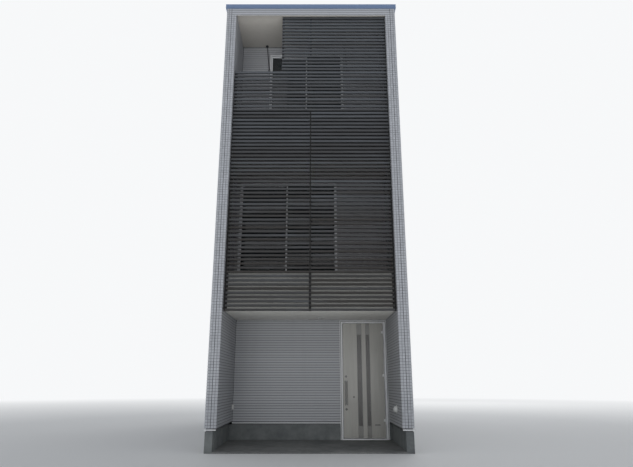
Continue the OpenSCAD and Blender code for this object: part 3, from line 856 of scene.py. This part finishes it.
# %% Rows on the side walls
BEHIND_FASCIA = FASCIA_Y + FASCIA_DEPTH
lining_top = ceiling_height(SCREEN_Y)
loggia_lining = (BEHIND_FASCIA, LOGGIA_Y - PROUD)
for name, sign, porch_end, seed in (("left", -1, PORCH_Y - PROUD, 11), ("right", 1, frame_low.y, 12)):
    outside = side_rows(sign * OUTER_X, sign, (FRONT_Y, REAR_Y + PROUD), (FOOT, WALL_TOP))
    grow_bars(f"{name}_outer_rows", outside, siding, seed=seed)
    lining = [
        ((FRONT_Y, porch_end), (FOOT, SOFFIT_Z)),
        ((FRONT_Y, SCREEN_Y), (SOFFIT_Z + GROOVE, BEAM_Z)),
        ((FRONT_Y + CURTAIN, SCREEN_Y), (BEAM_Z, lining_top)),
        (loggia_lining, (SECOND_FLOOR, LOGGIA_SOFFIT)),
        (loggia_lining, (THIRD_FLOOR, lining_top)),
    ]
    if sign < 0:
        lining.append(((SCREEN_Y, BEHIND_FASCIA), (OPENING_FOOT, lining_top)))
    rows = [bar for ys, zs in lining for bar in side_rows(sign * INNER_X, -sign, ys, zs)]
    grow_bars(f"{name}_inner_rows", rows, siding, seed=seed + 2)

# %% [markdown]
# ## Mosaic ends
# The ends of the side walls are faced with small glazed tiles, two columns on
# either side of a soft joint. Their rows line up with the rows of the siding.
# The inner columns stop under the beam, whose siding runs on over them to the
# soft joints.

# %% Tiles on the wall ends
TILE_GAP = 0.0065
TILE_COLUMNS = 2
JOINT_HALF = 0.005
joint_middle = (INNER_X + OUTER_X) / 2
beam_end = joint_middle - JOINT_HALF
inner_half = (INNER_X, beam_end, BEAM_Z)
outer_half = (joint_middle + JOINT_HALF, OUTER_X, TRIM_Z)


def end_tiles(sign):
    """The tiles on the end of one side wall."""
    shrink = (TILE_GAP - GROOVE) / 2
    for start, end, height in (inner_half, outer_half):
        width = (end - start + TILE_GAP) / TILE_COLUMNS
        for column in range(TILE_COLUMNS):
            near = start + column * width
            left, right = sorted((sign * near, sign * (near + width - TILE_GAP)))
            for bottom, top in siding_rows(FOOT, height):
                yield (left, FRONT_Y - PROUD, bottom + shrink), (right, FRONT_Y, top - shrink)


for name, sign in (("left", -1), ("right", 1)):
    grow_bars(f"{name}_end_tiles", end_tiles(sign), tile_glaze, ease=0.001, seed=20 + sign)

# %% Siding on the beam
BACKING = 0.0015
backing_bar = (-beam_end, FRONT_Y - BACKING, BEAM_Z), (beam_end, FRONT_Y, TRIM_Z)
grow_bars("beam_backing", [backing_bar], groove_shade_and_grout, ease=0)
beam_bars = cross_rows(FRONT_Y - BACKING, -1, (-beam_end, beam_end), (BEAM_Z, TRIM_Z))
grow_bars("beam_rows", beam_bars, tile_glaze, seed=25)

# %% [markdown]
# ## Flashing
# A folded strip sheds the rain at the foot of the siding. Its lip is only two
# centimetres high and stands free of the wall, so that a shadow lies under it.

# %% Flashing
LIP_PROUD = 0.015
LIP_HEIGHT = 0.020
SHEET = 0.0025
flashing_low, flashing_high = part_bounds("drip_flashing")
shelf_top = flashing_high.z


def flashing_run(x0, x1, y0, y1, lip):
    """A shelf with a lip along one side, named by its axis and direction."""
    start, end = [x0, y0, shelf_top - LIP_HEIGHT], [x1, y1, shelf_top]
    axis = "xy".index(lip[0])
    if lip[1] == "+":
        start[axis] = end[axis] - SHEET
    else:
        end[axis] = start[axis] + SHEET
    return ((x0, y0, shelf_top - SHEET), (x1, y1, shelf_top)), (start, end)


flashing_runs = [
    (-INNER_X, frame_low.x, PORCH_Y - LIP_PROUD, PORCH_Y + PROUD, "y-"),
    (flashing_low.x, flashing_high.x, REAR_Y - PROUD, flashing_high.y, "y+"),
    (OUTER_X - PROUD, flashing_high.x, flashing_low.y, flashing_high.y, "x+"),
    (flashing_low.x, -OUTER_X + PROUD, flashing_low.y, flashing_high.y, "x-"),
    (INNER_X, flashing_high.x, flashing_low.y, FRONT_Y + PROUD, "y-"),
    (flashing_low.x, -INNER_X, flashing_low.y, FRONT_Y + PROUD, "y-"),
]
strips = [bar for run in flashing_runs for bar in flashing_run(*run)]
flashing = grow_bars("flashing_strips", strips, white_aluminium, ease=0.0006)
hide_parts("drip_flashing")

# %% [markdown]
# ## Beam and ceilings
# The beam hangs below the ceiling like a short curtain. From there the ceiling
# falls to the rear with the roof, which leaves room for the topmost slat right
# behind the beam. An outline in depth and height, drawn out across the house,
# gives each board. A slim dark strip runs along each ceiling's rear edge.


# %% Boards across the house
def boards_across(name, outlines, material):
    """Draws closed outlines of (depth behind the front, height) out across the house."""
    mesh = bmesh.new()
    for outline in outlines:
        left, right = ([mesh.verts.new((x, FRONT_Y + y, z)) for y, z in outline] for x in (-INNER_X, INNER_X))
        mesh.faces.new(left)
        mesh.faces.new(right)
        for at, after in enumerate([*range(1, len(outline)), 0]):
            mesh.faces.new((left[at], left[after], right[after], right[at]))
    bmesh.ops.bevel(mesh, geom=mesh.edges[:], offset=BOARD_EASE, segments=1, affect="EDGES")
    return as_piece(name, mesh, material)


def on_underside(underside, thickness):
    """The outline of a board that lies on two points of its underside."""
    return [*underside, *((y, z + thickness) for y, z in reversed(underside))]


# %% Beam and ceilings
BOARD_EASE = 0.0012
CEILING_T = 0.012
LOWER_CEILING_T = 0.020
beam_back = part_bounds("front_beam")[1].y - FRONT_Y
beam_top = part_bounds("front_beam")[1].z
loggia_depth = LOGGIA_Y - FRONT_Y
high_front = ceiling_height(FRONT_Y + CURTAIN) + CEILING_T
beam_outline = [
    (0, BEAM_Z), (CURTAIN, BEAM_Z), (CURTAIN, high_front),
    (beam_back, high_front), (beam_back, beam_top), (0, beam_top),
]
beam = boards_across("beam_board", [beam_outline], ceiling_paint)
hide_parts("front_beam")
upper = [(y, ceiling_height(FRONT_Y + y)) for y in (CURTAIN, loggia_depth)]
lower = [(y, LOGGIA_SOFFIT) for y in (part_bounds("second_floor_fascia")[1].y - FRONT_Y, loggia_depth)]
outlines = [on_underside(upper, CEILING_T), on_underside(lower, LOWER_CEILING_T)]
ceilings = boards_across("ceiling_boards", outlines, ceiling_paint)
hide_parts("loggia_ceilings")

# %% Edge strips
STRIP = 0.006
STRIP_LAP = 0.001
strip_x, strip_y = INNER_X - PROUD, LOGGIA_Y - PROUD
# The strips are painted dark: painted shade in the corner where each ceiling meets the wall.
edge_strips = [
    ((-strip_x, strip_y - STRIP, height - STRIP), (strip_x, strip_y, height + STRIP_LAP))
    for height in (LOGGIA_SOFFIT, ceiling_height(strip_y))
]
grow_bars("edge_strips", edge_strips, dark_paint, ease=0.0003)

# %% [markdown]
# ## Soft joints
# Sealant fills the joints between boards, the ring round each window and the
# corners where two walls meet. It lies a little deeper than the rows.


# %% Sealant
SEALANT_DEPTH = 0.003
UNDER_TRIM = 0.05


def upright(x, y, low, high, half=SOFT_JOINT / 2, depth=SEALANT_DEPTH):
    """A strip of sealant that runs up a wall across the house."""
    near, far = sorted((y, y + depth))
    return (x - half, near, low), (x + half, far, high)


sealant_bars = []
for box in (second_window, third_window):
    sealant_bars += ring(box, LOGGIA_Y, SOFT_JOINT, -PROUD * 0.7)
for box in rear_windows:
    sealant_bars += ring(box, REAR_Y, SOFT_JOINT, PROUD * 0.7)
for x in REAR_JOINTS:
    crossed = [(low.z, high.z) for low, high in rear_windows if abs(x) < high.x]
    for low, high in spans_beside(FOOT, REAR_TOP, crossed):
        sealant_bars.append(upright(x, REAR_Y, low, high))
inner_corner = INNER_X - SOFT_JOINT / 2
for sign in (-1, 1):
    end_y = FRONT_Y + SEALANT_DEPTH
    sealant_bars.append(upright(sign * joint_middle, end_y, FOOT, TRIM_Z, JOINT_HALF, PROUD))
    for low, high in STOREYS[1:]:
        sealant_bars.append(upright(sign * inner_corner, LOGGIA_Y, low, high, depth=-PROUD))
    near, far = sorted((sign * OUTER_X, sign * (OUTER_X + SEALANT_DEPTH)))
    for y in BOARD_JOINTS:
        top = WALL_TOP - ROOF_FALL * (y - FRONT_Y) - UNDER_TRIM
        sealant_bars.append(((near, y, FOOT), (far, y + SOFT_JOINT, top)))
sealant_bars.append(upright(-inner_corner, PORCH_Y, FOOT, SOFFIT_Z, depth=-PROUD * 1.4))
grow_bars("wall_sealant", sealant_bars, sealant, ease=0.0008)

# %% [markdown]
# ## The slat screen
# Some eighty rows of sawn slats are screwed to posts behind them. They run in
# one length above and in two below, where they meet on the middle post, and the
# top rows stop beside the opening at the upper left. Sawn and weathered wood is
# never quite straight, so each slat is a little off, and the tree bends it by a
# millimetre or two.

# %% Slats
SLAT_HEIGHT = 0.040
SLAT_DEPTH = 0.045
SLAT_COUNT = 81
OPENING_ROWS = 17
SPLIT_ROW = 29
SHORT_ROW = 51
MIDDLE_JOINT = 0.022
GAP_ABOVE, GAP_BELOW = 0.010, 0.032
HANG_SPREAD, SAW_SPREAD = 0.0009, 0.0006
SET_BACK = 0.0015
END_PLAY = 0.004
TOP_SLAT = OPENING_FOOT + (OPENING_ROWS - 0.5) * SLAT_PITCH
SCREENS = {
    "screen_top": (0, OPENING_ROWS),
    "screen_third_storey": (OPENING_ROWS, 40),
    "screen_second_storey": (40, 71),
    "screen_floor_band": (71, SLAT_COUNT),
}
sawyer = random.Random(41)


def slat_end(row):
    """The slats reach close to the walls above and stop a little shorter below."""
    return INNER_X - (GAP_ABOVE if row < SHORT_ROW else GAP_BELOW)


def stretches(row):
    """Where the slats of a row start and end."""
    end = slat_end(row)
    if row < OPENING_ROWS:
        return [(OPENING_EDGE, end)]
    if row < SPLIT_ROW:
        return [(-end, end)]
    return [(-end, -MIDDLE_JOINT / 2), (MIDDLE_JOINT / 2, end)]


def screen_slats(first, last):
    """Sawn slats, each a little off in height, thickness, depth and length."""
    for row in range(first, last):
        for start, end in stretches(row):
            middle = TOP_SLAT - row * SLAT_PITCH + sawyer.gauss(0, HANG_SPREAD)
            half = (SLAT_HEIGHT + sawyer.gauss(0, SAW_SPREAD)) / 2
            near = SCREEN_Y + SET_BACK + sawyer.uniform(0, SET_BACK)
            left, right = start + sawyer.uniform(0, END_PLAY), end - sawyer.uniform(0, END_PLAY)
            yield (left, near, middle - half), (right, near + SLAT_DEPTH - 2 * SET_BACK, middle + half)


for node, (first, last) in SCREENS.items():
    slats = grow_bars(
        node + "_slats", screen_slats(first, last), slat_timber,
        ease=0.003, cuts=24, waver=0.005, seed=30 + first,
    )
    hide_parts(node)

# %% [markdown]
# The posts are plain battens, painted darker than the slats: painted shade
# behind the screen. The left one stops below the opening, where a shorter post
# beside the opening takes over.

# %% Posts
END_POST = 0.060
MIDDLE_POST = 0.044
POST_PLAY = 0.001
post_near = SCREEN_Y + SLAT_DEPTH - POST_PLAY
BAND_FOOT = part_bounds("screen_floor_band")[0].z
POST_TOP = ceiling_height(FASCIA_Y)
POST_SPANS = [
    (-INNER_X, -INNER_X + END_POST, BAND_FOOT, OPENING_FOOT),
    (OPENING_EDGE, OPENING_EDGE + MIDDLE_POST, OPENING_FOOT, POST_TOP),
    (-MIDDLE_POST / 2, MIDDLE_POST / 2, BAND_FOOT, POST_TOP),
    (INNER_X - END_POST, INNER_X, BAND_FOOT, POST_TOP),
]
post_bars = [((x0, post_near, z0), (x1, FASCIA_Y - POST_PLAY, z1)) for x0, x1, z0, z1 in POST_SPANS]
grow_bars("screen_posts", post_bars, post_timber, ease=0.002)

# %% [markdown]
# ## Screws
# Each slat is held by one steel screw at every post, and two where it is
# jointed. A screw head is a low disc with twelve sides. A second small tree
# sets discs on points, and turns them to face along each point's `facing`.


# %% Discs
def make_disc_tree():
    graph, points, radius, depth, finish = start_tree(
        "discs_on_points", Geometry="Geometry", Radius="Float", Depth="Float", Finish="Material"
    )
    disc = graph.add("GeometryNodeMeshCylinder", Vertices=12, Radius=radius, Depth=depth)
    facing = named_values(graph, "facing")
    turn = graph.add("FunctionNodeAlignRotationToVector", {"axis": "Z"}, Vector=facing)
    placed = graph.add("GeometryNodeInstanceOnPoints", Points=points, Instance=disc, Rotation=turn)
    return end_tree(graph, graph.add("GeometryNodeRealizeInstances", None, placed), finish)


# %% Slat screws
SCREW_RADIUS = 0.0038
SCREW_DEPTH = 0.002
SCREW_IN = 0.016
SIDE_PLAY, HEIGHT_PLAY = 0.002, 0.003
screw_places = []
for row in range(SLAT_COUNT):
    z = TOP_SLAT - row * SLAT_PITCH
    end_screw = slat_end(row) - SCREW_IN
    xs = [end_screw, OPENING_EDGE + MIDDLE_POST / 2 if row < OPENING_ROWS else -end_screw]
    xs += [0] if row < SPLIT_ROW else [-MIDDLE_POST / 3, MIDDLE_POST / 3]
    for x in xs:
        sideways = sawyer.uniform(-SIDE_PLAY, SIDE_PLAY)
        screw_places.append((x + sideways, SCREEN_Y, z + sawyer.uniform(-HEIGHT_PLAY, HEIGHT_PLAY)))
grow(
    "slat_screws", make_disc_tree(), screw_places, "facing", [0, -1, 0] * len(screw_places),
    {"Radius": SCREW_RADIUS, "Depth": SCREW_DEPTH, "Finish": strip_steel},
    ease=SCREW_DEPTH / 4,
)

# %% [markdown]
# ## Window details
# A black gasket holds each pane in its sash. It shows as a thin dark line
# between white metal and glass, on the side that faces out.


# %% Gaskets
GASKET = 0.005
GASKET_PROUD = 0.003
TRACK_PLAY = 0.001


def inset(box, by):
    """A box made smaller all round its face."""
    step = Vector((by, 0, by))
    return box[0] + step, box[1] - step


def panes_between(low_z, high_z, rear):
    """The boxes of the two panes of one window, which lie on two tracks."""
    points = [v.co for v in all_panes.data.vertices if low_z < v.co.z < high_z]
    points = [p for p in points if (p.y > 0) == rear]
    tracks = sorted({round(p.y, 3) for p in points})
    for near, far in (tracks[:2], tracks[2:]):
        yield corners_of(p for p in points if near - TRACK_PLAY < p.y < far + TRACK_PLAY)


gasket_bars = []
for rear, storeys in ((False, STOREYS[1:]), (True, STOREYS)):
    for storey in storeys:
        for low, high in panes_between(*storey, rear):
            face, depth = (high.y, GASKET_PROUD) if rear else (low.y, -GASKET_PROUD)
            gasket_bars += ring(inset((low, high), GASKET), face, GASKET, depth)
grow_bars("window_gaskets", gasket_bars, black_rubber, ease=0.0005)

# %% [markdown]
# ## Door details
# Two narrow panes run down the door, each in a steel strip. They get a gasket,
# the pull bar gets rounded caps, and the lock cylinders get their key slots. A
# seal runs round the frame behind the leaf, so the gap round it reads dark. A
# black line on the frame's face is the painted shadow of a groove, and a
# concrete nib stands beside its foot.

# %% Gaskets, seal and painted groove shadow
leaf_low, leaf_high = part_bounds("door_leaf")
SLIT_SPLIT = 1.1
slit_bars = []
for ends in ((leaf_low.x, SLIT_SPLIT), (SLIT_SPLIT, leaf_high.x)):
    slit_bars += ring(part_box("door_glass", "x", *ends), leaf_low.y + 0.003, width=0.004, depth=-0.0045)
grow_bars("door_slit_gaskets", slit_bars, black_rubber, DOOR, ease=0.0006)

# The frame's groove is a black strip on its face: painted shadow.
CASING_LINE_WIDTH = 0.010
CASING_LINE_IN = 0.012
face_low, face_high = inset((frame_low, frame_high), CASING_LINE_IN + CASING_LINE_WIDTH)
face_low.z = frame_low.z + CASING_LINE_WIDTH
left, right, _, head = ring((face_low, face_high), frame_low.y + 0.0005, CASING_LINE_WIDTH, depth=-0.0012)
casing = [left, right, head]
grow_bars("door_casing_groove", casing, black_rubber, ease=0.0003)

NIB_DEPTH = 0.12
NIB_SET_BACK = 0.007
nib_y = PORCH_Y + NIB_SET_BACK
footing_low, footing_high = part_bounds("foundation_right")
nib = (frame_high.x, nib_y, frame_low.z), (footing_low.x, nib_y + NIB_DEPTH, footing_high.z)
grow_bars("frame_foot_nib", [nib], foundation_concrete, ease=0.002)

SEAL_IN = 0.006
SEAL_PLAY = 0.0003
seal_box = inset((leaf_low, leaf_high), SEAL_IN)
seal_bars = ring(seal_box, leaf_high.y + SEAL_PLAY, width=0.008, depth=0.0059)
grow_bars("door_seal", seal_bars, black_rubber, ease=0.001)

# %% [markdown]
# Rounded caps, lenses and rims are turned shapes. A profile of radius and
# height is spun round an axis, and its seam is closed.


# %% Turned shapes
def turned(name, profile, place, direction, material, body=HOUSE, steps=32):
    """Spins a profile of (radius, height) round a direction."""
    mesh = bmesh.new()
    turn = Vector(direction).to_track_quat("Z", "Y").to_matrix()
    rings = []
    for radius, height in profile:
        angles = [math.tau * step / steps for step in range(steps if radius > 0 else 1)]
        points = [Vector((radius * math.cos(a), radius * math.sin(a), height)) for a in angles]
        rings.append([mesh.verts.new(Vector(place) + turn @ point) for point in points])
    for low, high in zip(rings, rings[1:]):
        for step in range(steps):
            after = (step + 1) % steps
            around = ((low, step), (low, after), (high, after), (high, step))
            corners = [row[at % len(row)] for row, at in around]
            mesh.faces.new(list(dict.fromkeys(corners)))
    piece = as_piece(name, mesh, material, body)
    for face in piece.data.polygons:
        face.use_smooth = True
    piece.data.set_sharp_from_angle(angle=math.radians(35))
    return piece


def dome(radius, rise, lip=0.0, steps=6):
    """A closed profile: a flat foot, an upright lip and a round top."""
    angles = [math.pi / 2 * step / steps for step in range(steps)]
    curve = [(radius * math.cos(a), lip + rise * math.sin(a)) for a in angles]
    return [(0, 0), (radius, 0), *curve, (0, lip + rise)]


# %% Handle caps and lock faces
BAR_RADIUS = 0.013
BAR_REACH = 0.050
CAP_LIP = 0.006
handle_low, handle_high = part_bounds("door_handles")
bar_x = (handle_low.x + handle_high.x) / 2
cap = dome(BAR_RADIUS + 0.0008, rise=0.004, lip=CAP_LIP)
for side, y in (("outer", leaf_low.y - BAR_REACH), ("inner", leaf_high.y + BAR_REACH)):
    for end, z, up in (("top", handle_high.z, 1), ("foot", handle_low.z, -1)):
        place = (bar_x, y, z - up * CAP_LIP)
        turned(f"{side}_pull_{end}_cap", cap, place, (0, 0, up), small_steel, DOOR)
PLATE_HALF = 0.025
plate = Vector((bar_x - PLATE_HALF, 0, handle_low.z)), Vector((bar_x + PLATE_HALF, 0, handle_high.z))
# A black ring round the pull plate paints the shadow along its edges.
plate_ring = ring(plate, leaf_low.y, width=0.006, depth=-0.003)
grow_bars("pull_plate_gasket", plate_ring, black_rubber, DOOR, ease=0.0006)

LOCK_X = 0.734
LOCK_HEIGHTS = 0.638, 1.282
LOCK_PROUD = 0.013
lock_face = leaf_low.y - LOCK_PROUD
# A key slot is a black bar on the lock's face: painted shade for the hole.
KEY_HALF = Vector((0.001, 0.0006, 0.005))
locks = [Vector((LOCK_X, lock_face, z)) for z in LOCK_HEIGHTS]
key_slots = [(lock - KEY_HALF, lock + KEY_HALF) for lock in locks]
grow_bars("key_slots", key_slots, black_rubber, DOOR, ease=0.0002)
VIEWER_X, VIEWER_Z = 0.888, 0.877
VIEWER_PROUD = 0.006
viewer = (VIEWER_X, leaf_low.y - VIEWER_PROUD, VIEWER_Z)
lens = dome(0.011, rise=0.003, lip=0.001)
turned("viewer_lens", lens, viewer, (0, -1, 0), door_glass, DOOR)

# %% [markdown]
# ## Small fittings
# The lamp in the soffit has a frosted lens, the outlet a hinged lid, and the
# vent hood a rim where it meets the wall.

# %% Fittings
lamp_low, lamp_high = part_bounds("porch_downlight")
lamp = (lamp_low + lamp_high) / 2
LENS_IN = 0.0045
lens_place = (lamp.x, lamp.y, lamp_low.z + LENS_IN)
lens = dome(0.037, rise=0.003, lip=0.001)
turned("downlight_lens", lens, lens_place, (0, 0, -1), lamp_lens)

LID_IN = 0.004
CATCH_HALF = 0.010
SUNK = 0.0002
outlet_low, outlet_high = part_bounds("outlet_box")
catch_y = (outlet_low.y + outlet_high.y) / 2
lid_back = outlet_high.x - SUNK
# The lid's gap is a dark bar: painted shade in the gap.
lid_gap = (
    (lid_back, outlet_low.y + LID_IN, outlet_high.z - 5 * LID_IN),
    (lid_back + 0.0014, outlet_high.y - LID_IN, outlet_high.z - 4 * LID_IN),
)
lid_catch = (
    (lid_back, catch_y - CATCH_HALF, outlet_low.z + 0.006),
    (lid_back + 0.0032, catch_y + CATCH_HALF, outlet_low.z + 0.012),
)
grow_bars("outlet_lid_lines", [lid_gap, lid_catch], sealant, ease=0.0004)

hood_low, hood_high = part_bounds("vent_hood")
hood = (hood_low + hood_high) / 2
inner_rim, outer_rim = ((hood_high.z - hood_low.z) / 2 - inward for inward in (0.012, 0.004))
rim_crest = (inner_rim + outer_rim) / 2
rim = [
    (inner_rim, 0.0075), (inner_rim, 0.0105), (rim_crest, 0.0115),
    (outer_rim, 0.0105), (outer_rim, 0.0075), (inner_rim, 0.0075),
]
hood_place = (hood_high.x, hood.y, hood.z)
turned("vent_hood_rim", rim, hood_place, (-1, 0, 0), white_plastic, steps=48)

# %% [markdown]
# ## Metal trim details
# The roof's front trim comes in lengths of 1.8 m, which meet under narrow
# cover plates. They sit in the trim's recess.

# %% Trim covers
trim_low, trim_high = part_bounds("roof_front_trim")
COVER_HALF = 0.03
RECESS = 0.006
LIP = 0.020
TRIM_JOINTS = -0.9, 0.9
COVER_SHEET = 0.0012
COVER_LAP = 0.001
cover_y = trim_low.y + RECESS
trim_covers = [
    (
        (x - COVER_HALF, cover_y - COVER_SHEET, trim_low.z + LIP),
        (x + COVER_HALF, cover_y + COVER_LAP, trim_high.z - LIP - RECESS),
    )
    for x in TRIM_JOINTS
]
grow_bars("trim_covers", trim_covers, roof_metal, ease=0.0005)

# %% [markdown]
# ## Ground
# A plain pale floor carries the shadow. It isn't part of the house. Far out it
# fades into the backdrop, for the camera only, so that no horizon cuts through
# the picture and the light on the house stays the same.

# %% Floor
FLOOR_HALF = 60
FADE_NEAR, FADE_FAR = 9, 34
corners = [(x * FLOOR_HALF, y * FLOOR_HALF, 0) for x, y in ((-1, -1), (1, -1), (1, 1), (-1, 1))]
floor_mesh = bpy.data.meshes.new("floor")
floor_mesh.from_pydata(corners, [], [(0, 1, 2, 3)])
ground = Finish("pale_floor")
floor_mesh.materials.append(ground.shade((0.78, 0.78, 0.77), 0.9))
distance = ground.add("ShaderNodeVectorMath", {"operation": "LENGTH"}, ground.place, output=1)
looked_at = ground.add("ShaderNodeLightPath", output=CAMERA_RAY)
faded = ground.band(distance, FADE_NEAR, FADE_FAR) * looked_at
haze = ground.add("ShaderNodeEmission", None, BACKDROP_WHITE, 1)
blended = ground.add("ShaderNodeMixShader", None, faded, Signal(ground, ground.shader.outputs[0]), haze)
ground.tree.links.new(blended.socket, ground.tree.nodes["Material Output"].inputs["Surface"])
show("floor", floor_mesh)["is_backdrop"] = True

# %% Sizes and finish
shown_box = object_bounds()
sizes = {"cad": [list(corner) for corner in cad_box], "visual": [list(corner) for corner in shown_box]}
for name, box in sizes.items():
    print(name, [round(v, 4) for corner in box for v in corner])
